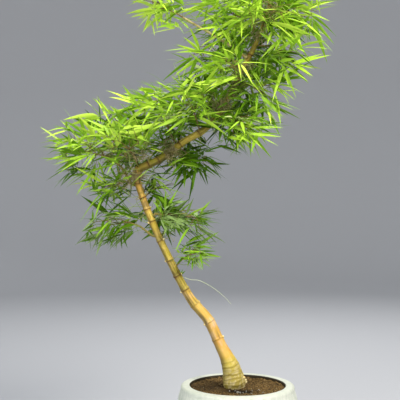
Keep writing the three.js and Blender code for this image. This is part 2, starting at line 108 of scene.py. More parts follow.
# Culm, in millimetres, and the spread of grooves and stripes round it as an angle. Nodes are given by their
# height above the soil on the lower length, and by their distance past the turn on the upper one.
LOWER_NODES = [125, 171, 216, 255, 291, 333, 383, 433, 465, 496, 530, 556]
UPPER_NODES = [32, 58, 84, 130, 186, 236, 286, 334, 384, 432, 480, 526, 572, 616, 658, 698]
BASE_RINGS = [4, 12, 20, 28, 35, 42, 49, 56, 63, 71]
# The model's limbs have so few sides. The culm here has more.
MODEL_CULM_SIDES = 8
MODEL_BOUGH_SIDES = 6
CULM_SIDES = 44
CULM_PITCH = 1.3
SCAR_WIDTH = 1.25
SCAR_DEPTH = 0.5
RING_TILT = 1.6
BAND_WIDTH = 4.2
RIDGE_WIDTH = 2.2
RIDGE_HEIGHT = 0.75
SWELL_WIDTH = 7
SWELL_HEIGHT = 0.5
KNEE_WIDTH = 13
KNEE_SWELL = 1.6
GROOVE_DEPTH = 1.3
GROOVE_SPREAD = 0.2
STRIPES = 7
WORN_STRIPES = 9
WORN_HEIGHTS = (205, 320)
STRIPE_SPREAD = 0.09
# Where each of these begins and over what stretch it grows to the full: dark scars, aged skin, warm colour
# again under the turn, and, past the turn, the end of the olive and shaded length.
DARK_SCARS = (230, 80)
AGED_SKIN = (225, 60)
WARM_TOP = (430, 50)
NEAR_TURN = (90, 30)
FOOT_TUCK = 7.5
FOOT_TUCK_HEIGHT = 10
FOOT_BUDS = [9, 15, 24]
BUDDING_NODES = 11
WARM_HEIGHT = 162
WARM_SPREAD = 110
SHOOT_NODE = 4
SHOOT_REACH = 138
SHOOT_RADII = (0.8, 0.35)
# The shoot's arch, sideways and up, as shares of its reach.
SHOOT_ARCH = [(0, 0), (0.1, -0.02), (0.25, -0.07), (0.4, -0.08), (0.64, -0.2), (0.86, -0.37), (1, -0.52)]

# Foliage: how twigs divide and how sprays are made up, in millimetres, with SPRAY_GAP in metres.
TWIGS_PER_MASS = 5
TIP_TRIES = 260
SPRAY_GAP = 0.0295
LEAVES_PER_SPRAY = (3, 5)
LEAF_LENGTHS = (54, 120)
LEAF_SLENDERNESS = 9.2
SPEAR_SLENDERNESS = 24
SPEAR_SHARE = 0.45
LOW_SCALE = 0.78
TWIG_SIDES = 5
STEM_RADII = (2.2, 1.3)
TWIG_RADII = (1.2, 0.6)
FINE_RADII = (0.75, 0.42)
NODE_TWIG_RADII = (0.85, 0.35)
BOUGH_TWIG_RADII = (0.7, 0.4)
WIRE_RADII = (0.6, 0.35)
FIRST_LEAFY_NODE = 5
LIMB_SAG = 15
BRANCHLETS = 26
# Shares: green fine twigs, dull sprays low down, pale sprays, and leaves left out before a knot of twigs.
GREEN_SHARE = 0.6
DULL_SHARE = 0.42
PALE_SHARE = 0.012
LEFT_OUT_SHARE = 0.86
# The way towards the light.
LIGHT = np.array([0.4, -0.3, 0.85])

# Studio, in metres, and the camera's lens in millimetres.
STUDIO_RADIUS = 6.5
STUDIO_ROUNDING = 2
STUDIO_HEIGHT = 9
SKY_STRENGTH = 0.7
CAMERA_PLACE = (-0.0975, -2.13, 0.739)
CAMERA_LENS = 73.7


# ---- small tools

def unit(vector):
    """The vector at length one."""
    return vector / max(norm(vector), 1e-12)


def bell(distance, width):
    """1 at no distance, falling off smoothly over width."""
    return np.exp(-((distance / width) ** 2))


def held(value):
    """A number or numbers held between 0 and 1."""
    return np.clip(value, 0, 1)


def ramp(value, start, over):
    """0 up to start, and from there up to 1 over the next stretch."""
    return held((value - start) / over)


def swung(vector, axis, angle):
    """A vector turned by an angle about an axis that is square to it."""
    return vector * cos(angle) + np.cross(axis, vector) * sin(angle)


def around(radius, angle):
    """The point at some radius and angle about the pot's axis, seen from above."""
    return radius * cos(angle), radius * sin(angle)


def cast(dice, spreads=(1, 1, 1), middles=(0, 0, 0)):
    """A random vector, normally spread about the middles."""
    return np.array([dice.gauss(middle, spread) for middle, spread in zip(middles, spreads)])


def linear(code):
    """A colour written as six hex digits, as linear red, green and blue with alpha."""
    parts = [int(code[i:i + 2], 16) / 255 for i in (0, 2, 4)]
    return tuple(p / 12.92 if p <= 0.04045 else ((p + 0.055) / 1.055) ** 2.4 for p in parts) + (1,)


def rough(place, scale, octaves=3, seed=0.0):
    """Smooth noise from about -1 to 1 at a place in metres, with features of about scale metres."""
    return noise.fractal(Vector(place) / scale + Vector((seed, seed, seed)), 0.6, 2.0, octaves)


def square_to(along, near):
    """The direction square to along that lies nearest to near."""
    return unit(near - along * np.dot(near, along))


def smooth_mesh(name, points, faces, material):
    """A smooth-shaded mesh of one material."""
    mesh = bpy.data.meshes.new(name)
    mesh.from_pydata(points, [], faces)
    mesh.validate()
    mesh.materials.append(material)
    mesh.polygons.foreach_set("use_smooth", [True] * len(mesh.polygons))
    return mesh


def in_scene(name, data):
    """A mesh, light or camera as an object of the scene."""
    item = bpy.data.objects.new(name, data)
    bpy.context.scene.collection.objects.link(item)
    return item


class Shapes:
    """Points and faces of many small shapes that become one joined mesh."""

    def __init__(self):
        self.points = []
        self.faces = []
        self.count = 0

    def add(self, points, faces):
        """One more shape, whose faces count its own points from 0."""
        self.points.append(np.asarray(points, float).reshape(-1, 3))
        self.faces.extend([i + self.count for i in face] for face in faces)
        self.count += len(self.points[-1])

    def piece(self, name, material, slot, nodes=()):
        """The joined mesh as a piece of the plant, which stands for the model's nodes."""
        points = np.concatenate(self.points).tolist()
        piece = in_scene(name, smooth_mesh(name, points, self.faces, material))
        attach(piece, "root")
        if nodes:
            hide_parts(*nodes)
        return piece


def grid_faces(rows, columns):
    """Quads between the rows of a grid, each row closed on itself."""
    pairs = [(c, (c + 1) % columns) for c in range(columns)]
    return [
        [row + a, row + b, row + columns + b, row + columns + a]
        for row in range(0, (rows - 1) * columns, columns)
        for a, b in pairs
    ]


def tube_faces(rows, columns, both_ends=True):
    """The faces of a tube: a grid, its first end, and its last end unless that stays open."""
    last = (rows - 1) * columns
    ends = [list(range(columns))[::-1], [last + c for c in range(columns)]]
    return grid_faces(rows, columns) + (ends if both_ends else ends[:1])


def spokes_about(side, other, angles):
    """Directions at some angles round a path, from two that are square to it at each point."""
    across = np.cos(angles)[None, :, None] * side[:, None, :]
    return across + np.sin(angles)[None, :, None] * other[:, None, :]


def turns_of(count):
    """Angles evenly round a circle."""
    return np.arange(count) * 2 * pi / count


def paint(piece, name, values):
    """One number for each of a piece's points, which its material reads by name."""
    layer = piece.data.attributes.new(name, "FLOAT", "POINT")
    layer.data.foreach_set("value", np.asarray(values, np.float32).ravel())


def sweep(path, near=FRONT):
    """Two directions square to a path at each point, turning as little as they can."""
    along = np.gradient(path, axis=0)
    along /= norm(along, axis=1)[:, None]
    sides = []
    side = near
    for direction in along:
        side = square_to(direction, side)
        sides.append(side)
    sides = np.array(sides)
    return sides, np.cross(along, sides)


def add_tube(shapes, path, radii, sides=TWIG_SIDES):
    """A closed tube along a path."""
    path = np.asarray(path, float)
    near = FRONT if abs(np.dot(unit(path[-1] - path[0]), FRONT)) < 0.9 else UP
    spokes = spokes_about(*sweep(path, near), turns_of(sides))
    corners = path[:, None, :] + spokes * np.asarray(radii, float)[:, None, None]
    shapes.add(corners, tube_faces(len(path), sides))


def add_twig(shapes, path, thick, thin, sides=TWIG_SIDES):
    """A tube that narrows evenly, from one radius to another in millimetres."""
    add_tube(shapes, path, np.linspace(thick, thin, len(path)) * MM, sides)


def bend(points, count):
    """A smooth path through a few points, by uniform Catmull-Rom."""
    points = [np.asarray(p, float) for p in points]
    ends = [2 * points[0] - points[1], *points, 2 * points[-1] - points[-2]]
    path = []
    for share in np.linspace(0, len(points) - 1, count):
        i = min(int(share), len(points) - 2)
        a, b, c, d = ends[i:i + 4]
        t = share - i
        straight = 2 * b + (c - a) * t
        path.append(0.5 * (straight + (2 * a - 5 * b + 4 * c - d) * t * t + (3 * b - a - 3 * c + d) * t ** 3))
    return np.array(path)


def arc(start, end, lift, count):
    """A smooth path between two points whose middle is moved by lift."""
    return bend([start, (start + end) / 2 + lift, end], count)


# ---- materials

def shader(name, colour, roughness, specular=0.4):
    """A new material with a plain base colour."""
    material = bpy.data.materials.new(name)
    material.use_nodes = True
    surface = material.node_tree.nodes["Principled BSDF"].inputs
    looks = {"Base Color": linear(colour), "Roughness": roughness, "Specular IOR Level": specular}
    for key, value in looks.items():
        surface[key].default_value = value
    return material


class Nodes:
    """A new material, and short ways to make its nodes."""

    def __init__(self, *looks):
        self.material = shader(*looks)
        self.tree = self.material.node_tree
        self.surface = self.tree.nodes["Principled BSDF"].inputs
        self.place = self.new("ShaderNodeTexCoord").outputs["Object"]

    def new(self, kind, **settings):
        node = self.tree.nodes.new(kind)
        for key, value in settings.items():
            setattr(node, key, value)
        return node

    def feed(self, socket, value):
        """A link or a plain value into a socket."""
        if isinstance(value, bpy.types.NodeSocket):
            self.tree.links.new(value, socket)
        else:
            socket.default_value = value

    def pattern(self, kind, scale, stretch, vector):
        """A texture node over stretched places."""
        mapping = self.new("ShaderNodeMapping")
        self.feed(mapping.inputs["Vector"], vector)
        mapping.inputs["Scale"].default_value = stretch
        texture = self.new(kind)
        self.feed(texture.inputs["Vector"], mapping.outputs["Vector"])
        texture.inputs["Scale"].default_value = scale
        return texture

    def noise(self, scale, detail=3.0, stretch=(1, 1, 1), vector=None):
        """Cloudy noise from 0 to 1."""
        texture = self.pattern("ShaderNodeTexNoise", scale, stretch, vector or self.place)
        texture.inputs["Detail"].default_value = detail
        return texture.outputs["Fac"]

    def patches(self, low, high, scale, detail=3.0, stretch=(1, 1, 1)):
        """0 where noise is under low, 1 where it is over high."""
        return self.between(self.noise(scale, detail, stretch), low, high)

    def spots(self, scale, stretch=(1, 1, 1)):
        """The distance to the nearest of many scattered points."""
        return self.pattern("ShaderNodeTexVoronoi", scale, stretch, self.place).outputs["Distance"]

    def attribute(self, name):
        """The numbers that paint gave a piece under a name."""
        return self.new("ShaderNodeAttribute", attribute_name=name).outputs["Fac"]

    def between(self, value, low, high, start=0.0, end=1.0):
        """value, as it goes from low to high, as a number from start to end."""
        node = self.new("ShaderNodeMapRange")
        self.feed(node.inputs["Value"], value)
        for key, number in (("From Min", low), ("From Max", high), ("To Min", start), ("To Max", end)):
            node.inputs[key].default_value = number
        return node.outputs["Result"]

    def mix(self, share, first, second):
        """first where share is 0, second where it is 1. Colours may be six hex digits."""
        node = self.new("ShaderNodeMix", data_type="RGBA")
        self.feed(node.inputs[0], share)
        self.feed(node.inputs[6], linear(first) if isinstance(first, str) else first)
        self.feed(node.inputs[7], linear(second) if isinstance(second, str) else second)
        return node.outputs[2]

    def layers(self, colour, coats):
        """A colour under coats of others, each with its mask and how far it covers."""
        for mask, code, most in coats:
            mask = self.attribute(mask) if isinstance(mask, str) else mask
            colour = self.mix(mask if most == 1 else self.between(mask, 0, 1, 0, most), colour, code)
        return colour

    def both(self, first, second):
        """second where first is 1, and 0 where first is 0."""
        return self.mix(first, "000000", second)

    def set(self, key, value):
        """An input of the material's surface."""
        self.feed(self.surface[key], value)

    def bump(self, height, distance, strength=1.0, after=None):
        """The surface's normal over relief of some height, laid on another normal."""
        node = self.new("ShaderNodeBump")
        self.feed(node.inputs["Height"], height)
        node.inputs["Distance"].default_value = distance
        node.inputs["Strength"].default_value = strength
        if after is not None:
            self.feed(node.inputs["Normal"], after)
        return node.outputs["Normal"]


def glaze():
    """Pale, pitted glaze with clouds, downward streaks and flecks, and painted shade inside the lip and over
    its top.
    """
    n = Nodes("pot_glaze", "e4e5d8", 0.5)
    cloud = n.patches(0.35, 0.7, 14, 4)
    streaks = n.patches(0.42, 0.66, 95, 5, (1, 1, 0.3))
    flecks = n.between(n.spots(420, (1, 1, 0.6)), 0.0, 0.32, 1.0, 0.0)
    coats = [
        (streaks, "aebaa8", 0.46),
        (flecks, "a59f88", 0.4),
        # painted shade: the top of the lip greyer, so it is less bright under the lamps
        ("lip", "bcbfae", 0.6),
        # painted shade: dark on the inner wall under the rim
        ("inner_wall_shade", "38301f", 1),
    ]
    n.set("Base Color", n.layers(n.mix(cloud, "dedfd1", "cbd1c1"), coats))
    n.set("Roughness", n.between(n.noise(90), 0.3, 0.7, 0.36, 0.62))
    relief = n.bump(n.noise(260, 5, (1, 1, 0.5)), 0.0009)
    n.set("Normal", n.bump(flecks, 0.0004, 0.6, relief))
    return n.material


def earth(name, dark, light, scale):
    """Earth in two browns with straw-coloured specks, darker where it is wet and in painted shade."""
    n = Nodes(name, dark, 0.95, 0.15)
    patches = n.patches(0.38, 0.64, scale, 5)
    straw = n.patches(0.52, 0.7, scale * 6, 3)
    # The dark coat is wet earth and painted shade.
    coats = [(straw, "94733f", 1), ("damp_and_shade", "1c150c", 1)]
    n.set("Base Color", n.layers(n.mix(patches, dark, light), coats))
    n.set("Normal", n.bump(n.noise(scale * 9, 5), 0.0012))
    return n.material


def golden_culm():
    """The culm's golden skin: fibres along it and the marks that culm() paints."""
    n = Nodes("culm", "d9aa4a", 0.46, 0.35)
    skin = n.new("ShaderNodeCombineXYZ")
    n.feed(skin.inputs["X"], n.attribute("round"))
    n.feed(skin.inputs["Y"], n.attribute("along"))
    fibres = n.between(n.noise(1.0, 3, (14, 0.02, 1), skin.outputs[0]), 0.4, 0.66)
    blotches = n.patches(0.4, 0.66, 34, 4)
    flush = n.patches(0.54, 0.66, 42, 2, (1, 1, 0.6))
    lichen = n.patches(0.44, 0.6, 120, 4)
    stains = n.between(n.noise(48, 3), 0.49, 0.63, 0, 0.75)
    specks = n.between(n.spots(330), 0.06, 0.2, 1.0, 0.0)
    rare = n.patches(0.52, 0.66, 75, 2)
    coats = [
        (blotches, "e6c76c", 0.55),
        (n.both(n.attribute("warm"), flush), "ecc49a", 1),
        (fibres, "b08e2e", 0.4),
        ("green", "a8a040", 0.8),
        ("old", "82703f", 0.75),
        (n.both(n.attribute("old"), lichen), "d0bf8a", 1),
        (n.both(n.attribute("aged"), stains), "806822", 1),
        ("olive", "8a8420", 0.72),
        # painted shade: darker on the culm's downward-facing side
        ("under", "5f5526", 0.74),
        (n.both(rare, specks), "5f4418", 1),
        ("band", "7a4e1a", 0.8),
        ("groove", "4f3d14", 0.85),
        ("scar", "3c260f", 0.95),
    ]
    n.set("Base Color", n.layers(n.mix(n.attribute("warm"), "d4bf42", "dda54c"), coats))
    n.set("Roughness", n.between(n.noise(120), 0.3, 0.7, 0.34, 0.56))
    n.set("Normal", n.bump(fibres, 0.0003, 0.7, n.bump(n.noise(500, 3), 0.0002)))
    return n.material


def bark(name, young, old, scale=90):
    """Twig bark: two colours in soft patches, with fine relief."""
    n = Nodes(name, young, 0.62, 0.3)
    n.set("Base Color", n.mix(n.patches(0.4, 0.62, scale, 3), young, old))
    n.set("Normal", n.bump(n.noise(scale * 7, 2), 0.0002))
    return n.material


# ---- the model's limbs

def corners_of(node):
    """A CAD node's corners, each place once, and the neighbours of each."""
    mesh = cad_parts[node].data
    places = {}
    ids = [places.setdefault(tuple(v.co), len(places)) for v in mesh.vertices]
    beside = [set() for _ in places]
    for polygon in mesh.polygons:
        corners = [ids[v] for v in polygon.vertices]
        for corner in corners:
            beside[corner].update(corners)
    return np.array(list(places)), beside


def limb(node, sides, from_soil=False):
    """A CAD limb's rings from foot to tip, as centres and radii. The walk over its corners starts at its flat
    cut in the soil, or else at the small ring at its tip."""
    corners, beside = corners_of(node)
    if from_soil:
        ring = set(np.argsort(corners[:, 2])[:sides])
    else:
        tip = corners[np.argmax(corners[:, 2])] if node == "culm_upper" else corners[far_corner(corners)]
        ring = set(np.argsort(norm(corners - tip, axis=1))[:sides])
    centres, radii, seen = [], [], set()
    while ring:
        places = corners[list(ring)]
        centres.append(places.mean(0))
        radii.append(norm(places - centres[-1], axis=1).min())
        seen |= ring
        ring = {b for corner in ring for b in beside[corner]} - seen
    way = 1 if from_soil else -1
    return np.array(centres[::way]), np.array(radii[::way])


def far_corner(corners):
    """The corner furthest from the culm's axis."""
    gaps = norm(corners[:, None, :] - culm_axis[None, :, :], axis=2).min(1)
    return int(np.argmax(gaps))


def soften(values, reach):
    """Values along a path, averaged over about reach steps to both sides; the ends stay."""
    width = int(3 * reach)
    weights = bell(np.arange(-width, width + 1), reach * 1.4)
    weights /= weights.sum()
    before = 2 * values[0] - values[width:0:-1]
    after = 2 * values[-1] - values[-2:-width - 2:-1]
    padded = np.concatenate([before, values, after]).reshape(len(values) + 2 * width, -1)
    return np.column_stack([np.convolve(row, weights, "valid") for row in padded.T]).reshape(values.shape)


def even_steps(centres, radii, pitch):
    """A limb at even steps: path, radius and distance travelled, in metres."""
    travelled = np.concatenate([[0], np.cumsum(norm(np.diff(centres, axis=0), axis=1))])
    steps = np.linspace(0, travelled[-1], int(travelled[-1] / pitch) + 1)
    path = np.column_stack([np.interp(steps, travelled, centres[:, i]) for i in range(3)])
    radius = np.interp(steps, travelled, radii)
    return soften(path, 6), np.maximum(soften(radius, 9), 0.0008), steps


def whole_culm():
    """Both lengths of the culm as one limb, and how far along it the sharp turn is."""
    low_rings, low_radii = limb("culm_lower", MODEL_CULM_SIDES, from_soil=True)
    high_rings, high_radii = limb("culm_upper", MODEL_CULM_SIDES)
    rings = np.vstack([low_rings, high_rings[1:]])
    radii = np.concatenate([low_radii, high_radii[1:]])
    turn = float(norm(np.diff(low_rings, axis=0), axis=1).sum())
    return even_steps(rings, radii, CULM_PITCH * MM), turn


culm_line, culm_turn = whole_culm()
culm_path, culm_size, culm_steps = culm_line
culm_axis = culm_path[::8]
foot_x, foot_y = culm_path[0][:2]


def nearest_on_culm(place):
    """The point of the culm's axis nearest to a place."""
    return culm_axis[np.argmin(norm(culm_axis - place, axis=1))]


def culm_at(distance):
    """The culm's axis at a distance along it from the soil, in metres."""
    return culm_path[int(np.argmin(np.abs(culm_steps - distance)))]


def culm_place(height):
    """How far along the culm a height above the soil is, below the turn, in metres."""
    below = culm_steps < culm_turn
    return float(culm_steps[below][np.argmin(np.abs(culm_path[below, 2] - SOIL_LEVEL - height * MM))])


boughs = {name: limb(name, MODEL_BOUGH_SIDES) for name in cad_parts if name.startswith("bough_")}
# The upper left bough hangs a little lower between its ends than the model's.
sagging = boughs["bough_upper_left"][0]
sagging[:, 2] -= LIMB_SAG * MM * np.sin(np.linspace(0, 2.4, len(sagging)))
culm_nodes = [culm_place(h) for h in LOWER_NODES] + [culm_turn + d * MM for d in UPPER_NODES]
foot_rings = [culm_place(h) for h in BASE_RINGS]


# ---- pot and soil

def outer_profile():
    """The outer wall from foot to lip as points a short step apart, in millimetres."""
    knots = [(FOOT_RADIUS, FOOT_ROUNDING), FLANK, BELLY, SHOULDER, (LIP_RADIUS, POT_HEIGHT - LIP_HEIGHT)]
    return bend(knots, int(POT_HEIGHT / POT_STEP)).tolist()


def rounding(radius, height, size, start, end, count):
    """Part of a section: an arc of some size about a centre, between two angles."""
    return [(radius + size * cos(a), height + size * sin(a)) for a in np.linspace(start, end, count)]


def pot_section():
    """From the middle of the underside round the outside and the lip to the inside, in millimetres."""
    foot = [(FOOT_RADIUS - back, rise) for back, rise in ((26, FOOT_RECESS), (22, 0.6), (20, 0), (8, 0))]
    turn = rounding(FOOT_RADIUS - FOOT_ROUNDING, FOOT_ROUNDING, FOOT_ROUNDING, 0.2 - pi / 2, 0, 5)
    outer = LIP_RADIUS - LIP_ROUNDING
    inner = OPENING_RADIUS + EDGE_ROUNDING
    lip = rounding(outer, POT_HEIGHT - LIP_ROUNDING, LIP_ROUNDING, 0, pi / 2, 8)
    lip += [(r, POT_HEIGHT) for r in np.linspace(outer, inner, 10)[1:-1]]
    lip += rounding(inner, POT_HEIGHT - EDGE_ROUNDING, EDGE_ROUNDING, pi / 2, pi, 8)
    inside = [(OPENING_RADIUS, POT_HEIGHT - EDGE_ROUNDING - 2 * k) for k in range(1, 14)]
    return [(0.01, FOOT_RECESS), *foot, *turn, *outer_profile()[1:], *lip, *inside]


def pot():
    """The pot as a turned mesh with the slight unevenness of a hand-made one."""
    section = pot_section()
    angles = turns_of(POT_TURNS)
    points, edge, lip_top_shade = [], [], []
    for radius, height in section:
        wall = ramp(height, 4, 20) * np.clip((SHOULDER[1] + 30 - height) / 16, 0.3, 1)
        for angle in angles:
            place = (*around(radius * MM, angle), height * MM)
            pits = rough((place[0], place[1], place[2] * 0.45), 0.007, 3)
            wave = rough(place, 0.06, 2, 5.0)
            grown = radius + wall * (0.55 * pits + 0.5 * wave) + 0.25 * wave
            points.append((*around(grown * MM, angle), height * MM))
            # Painted shade under the rim, on the top 40 mm of the inner wall.
            edge.append(float(radius < OPENING_RADIUS + 1 and height > POT_HEIGHT - 40))
            # Painted shade over the top of the lip.
            lip_top_shade.append(ramp(height, POT_HEIGHT - 7, 6))
    shapes = Shapes()
    shapes.add(points, tube_faces(len(section), POT_TURNS, False))
    piece = shapes.piece("pot_body", glaze(), "pot_glaze", ["pot"])
    paint(piece, "inner_wall_shade", edge)
    paint(piece, "lip", lip_top_shade)


def from_foot(x, y, place=(0, 0)):
    """How far right and back a point is from a place given in millimetres from the culm's foot."""
    return x - foot_x - place[0] * MM, y - foot_y - place[1] * MM


def soil_height(x, y):
    """How far the soil stands above the model's: a low mound round the culm's foot, and clods."""
    mound = 2.2 * MM * bell(hypot(*from_foot(x, y)), 0.05)
    hollow = -5 * MM * bell(hypot(*from_foot(x, y, HOLLOW_PLACE)), 0.016)
    clods = 1.9 * MM * rough((x, y, 0), 0.012, 4) + 1.0 * MM * rough((x, y, 0), 0.004, 2, 7.0)
    rim = 2.0 * MM * ramp(hypot(x, y), 0.1, 0.02)
    return mound + hollow + clods + rim


def on_soil(x, y, lift=0.0):
    """The point of the soil's surface at x and y, or a little above it."""
    return x, y, SOIL_LEVEL + soil_height(x, y) + lift


def set_damp_and_shade(piece):
    """Wet earth in painted shade in the hollow by the culm's foot, and a weaker painted shade to its left."""
    damp_and_shade = np.zeros(len(piece.data.vertices))
    # Painted shade: the patch in the hollow is also wet earth, while the one to the left is only shade.
    for place, breadth, size, share in (DAMP_SHADE_PLACE, 1.7, 0.02, 1.3), (SHADE_PLACE, 1.4, 0.05, 0.72):
        for i, vertex in enumerate(piece.data.vertices):
            right, back = from_foot(vertex.co.x, vertex.co.y, place)
            damp_and_shade[i] += share * bell(hypot(right / breadth, back), size)
    paint(piece, "damp_and_shade", held(damp_and_shade))


def soil():
    """The soil with what lies on it."""
    rows = []
    for ring in range(SOIL_RINGS):
        radius = SOIL_RADIUS * MM * (ring + 0.5) / (SOIL_RINGS - 0.5)
        rows += [on_soil(*around(radius, angle)) for angle in turns_of(SOIL_TURNS)]
    side, bottom = SOIL_SIDE_RADIUS * MM, SOIL_LEVEL - SOIL_SIDE_DEPTH * MM
    rows += [(*around(side, angle), bottom) for angle in turns_of(SOIL_TURNS)]
    ground = Shapes()
    ground.add(rows, tube_faces(SOIL_RINGS + 1, SOIL_TURNS, False))
    set_damp_and_shade(ground.piece("soil_surface", earth("soil", "3a2c18", "64502c", 110), "soil", ["soil"]))
    dice = random.Random(5)
    strew_crumbs(dice)
    strew_rootlets(dice)


def strew_crumbs(dice):
    """Dark crumbs and a few light grains of grit, all over the soil."""
    crumbs, grit = Shapes(), Shapes()
    for i in range(CRUMBS + GRIT):
        radius = CRUMB_RADIUS * MM * sqrt(dice.random())
        angle = dice.uniform(0, 2 * pi)
        light = i >= CRUMBS
        size = dice.uniform(*GRIT_SIZES) if light else dice.triangular(*CRUMB_SIZES)
        place = on_soil(*around(radius, angle))
        add_crumb(grit if light else crumbs, place, size * MM, dice)
    set_damp_and_shade(crumbs.piece("soil_crumbs", earth("soil_crumb", "3c2e1b", "94774a", 160), "soil"))
    grit.piece("soil_grit", bark("soil_grit", "a88d5c", "c9b88a", 300), "soil")


def strew_rootlets(dice):
    """Short pale roots that arch out of the soil in front of the culm's foot."""
    roots = Shapes()
    for _ in range(ROOTLETS):
        x = foot_x + ROOTLET_PLACE[0] * MM + dice.gauss(0, 0.013)
        y = foot_y + ROOTLET_PLACE[1] * MM - abs(dice.gauss(0, 0.02))
        heading = dice.gauss(-pi / 2, 0.7)
        path = []
        for step in range(5):
            path.append(on_soil(x, y, (1 + 3.5 * sin(step * 0.8)) * MM))
            heading += dice.uniform(-0.5, 0.5)
            x += ROOTLET_STEP * MM * cos(heading)
            y += ROOTLET_STEP * MM * sin(heading)
        add_twig(roots, path, *ROOTLET_RADII, 4)
    roots.piece("soil_rootlets", bark("soil_rootlet", "8f8a7c", "c9c6bb", 300), "soil")


def add_crumb(shapes, place, size, dice):
    """A lumpy grain with eight faces."""
    axes = [(1, 0, 0), (-1, 0, 0), (0, 1, 0), (0, -1, 0), (0, 0, 1), (0, 0, -1)]
    faces = [(0, 2, 4), (2, 1, 4), (1, 3, 4), (3, 0, 4), (2, 0, 5), (1, 2, 5), (3, 1, 5), (0, 3, 5)]
    turn = dice.uniform(0, pi)
    cosine, sine = cos(turn), sin(turn)
    points = []
    for x, y, z in axes:
        stretch = size * dice.uniform(0.65, 1.25)
        points.append((
            place[0] + stretch * (x * cosine - y * sine),
            place[1] + stretch * (x * sine + y * cosine),
            place[2] + 0.3 * size + 0.7 * stretch * z,
        ))
    shapes.add(points, faces)


# ---- culm

def ring_marks(angles, dice):
    """Nodes and foot rings: relief in millimetres, and how strong scars and dark bands are."""
    swell = KNEE_SWELL * bell((culm_steps - culm_turn) / MM, KNEE_WIDTH)
    scar, band, ridges = (np.zeros((len(culm_steps), CULM_SIDES)) for _ in range(3))
    places = [(p, 1.0) for p in culm_nodes] + [(p, dice.uniform(0.25, 0.6)) for p in foot_rings]
    for place, strength in places:
        at_foot = place <= foot_rings[-1]
        tilt = dice.uniform(-1, 1) * RING_TILT * (2.4 if at_foot else 1)
        past = (culm_steps - place) / MM
        gap = past[:, None] - tilt * np.cos(angles - dice.uniform(-0.6, 0.6))
        if at_foot:
            gap = gap - 1.6 * np.sin(3 * angles + dice.uniform(0, 6))
        side_share = 0.6 + 0.4 * np.cos(angles + dice.uniform(0.2, 1.4))
        dark = ramp(place / MM, *DARK_SCARS)
        mark = strength * (1 if at_foot else 0.5 + 0.5 * dark)
        swell = swell + strength * (SWELL_HEIGHT * bell(past, SWELL_WIDTH))
        scar = np.maximum(scar, mark * bell(gap, SCAR_WIDTH) * (0.35 + 0.65 * side_share))
        band = np.maximum(band, dark * bell(gap + 0.8, BAND_WIDTH) * (0.25 + 0.75 * side_share))
        ridge = strength * (1 + 0.7 * dark) * RIDGE_HEIGHT * bell(gap - 1.9, RIDGE_WIDTH)
        ridges = ridges + ridge - strength * SCAR_DEPTH * bell(gap, SCAR_WIDTH)
    return swell[:, None] + ridges, scar, band


def length_marks(angles, dice):
    """What differs from node to node: grooves, stripes, warm colour and green."""
    steps = culm_steps
    groove, stripes = (np.zeros((len(steps), CULM_SIDES)) for _ in range(2))
    warm, green = np.zeros_like(steps), np.zeros_like(steps)
    for i, (start, end) in enumerate(zip(culm_nodes, [*culm_nodes[1:], steps[-1]])):
        share = ramp(steps, start, end - start)
        inside = (steps > start + 2.5 * MM) & (steps < end - 2 * MM)
        height = (culm_at((start + end) / 2)[2] - SOIL_LEVEL) / MM
        heat = held(1 - abs(height - WARM_HEIGHT) / WARM_SPREAD) + dice.uniform(-0.1, 0.3)
        if start < culm_turn - 0.01:
            heat = max(heat, 0.8 * ramp(height, *WARM_TOP))
        warm[(steps >= start) & (steps < end)] = heat
        fade = np.where(inside, held(1.0 - share * 1.25) * held(share / 0.05), 0)
        front = (-0.6 if i % 2 else 0.55) + dice.uniform(-0.25, 0.25)
        for at in (front, front + pi + dice.uniform(-0.6, 0.6)):
            groove = np.maximum(groove, line_along(fade, angles, at, GROOVE_SPREAD))
        worn = WORN_HEIGHTS[0] < height < WORN_HEIGHTS[1]
        for k in range(WORN_STRIPES if worn else STRIPES):
            line = dice.uniform(-pi, pi)
            depth = dice.uniform(0.3, 1)
            if worn:
                line = 2 * pi * (k + dice.uniform(-0.22, 0.22)) / WORN_STRIPES
                depth = dice.uniform(1.4, 2.6)
            depth = np.where(inside, depth * held(4 * share * (1 - share)) ** 0.4, 0)
            spread = STRIPE_SPREAD * (1.25 if worn else 1)
            stripes = np.maximum(stripes, line_along(depth, angles, line, spread))
        green = np.maximum(green, np.where(inside, 0.6 * dice.random() * bell(share - 0.05, 0.25), 0))
    start_warm = held(2.5 * (steps - foot_rings[-1]) / (culm_nodes[0] - foot_rings[-1]))
    return groove, stripes, np.where(steps < culm_nodes[0], start_warm, warm), green


def line_along(strength, angles, at, width):
    """A line along the culm at one angle round it, with its strength at each step."""
    return strength[:, None] * bell(turned(angles, at), width)


def unevenness(angles, side, other):
    """Soft noise over the culm's skin, worked out at every sixth step."""
    coarse = [
        [rough(p + 0.006 * (cos(a) * s + sin(a) * o), 0.012, 2, 3) for a in angles]
        for p, s, o in zip(culm_path[::6], side[::6], other[::6])
    ]
    return soften(np.repeat(np.array(coarse), 6, axis=0)[:len(culm_steps)], 4)


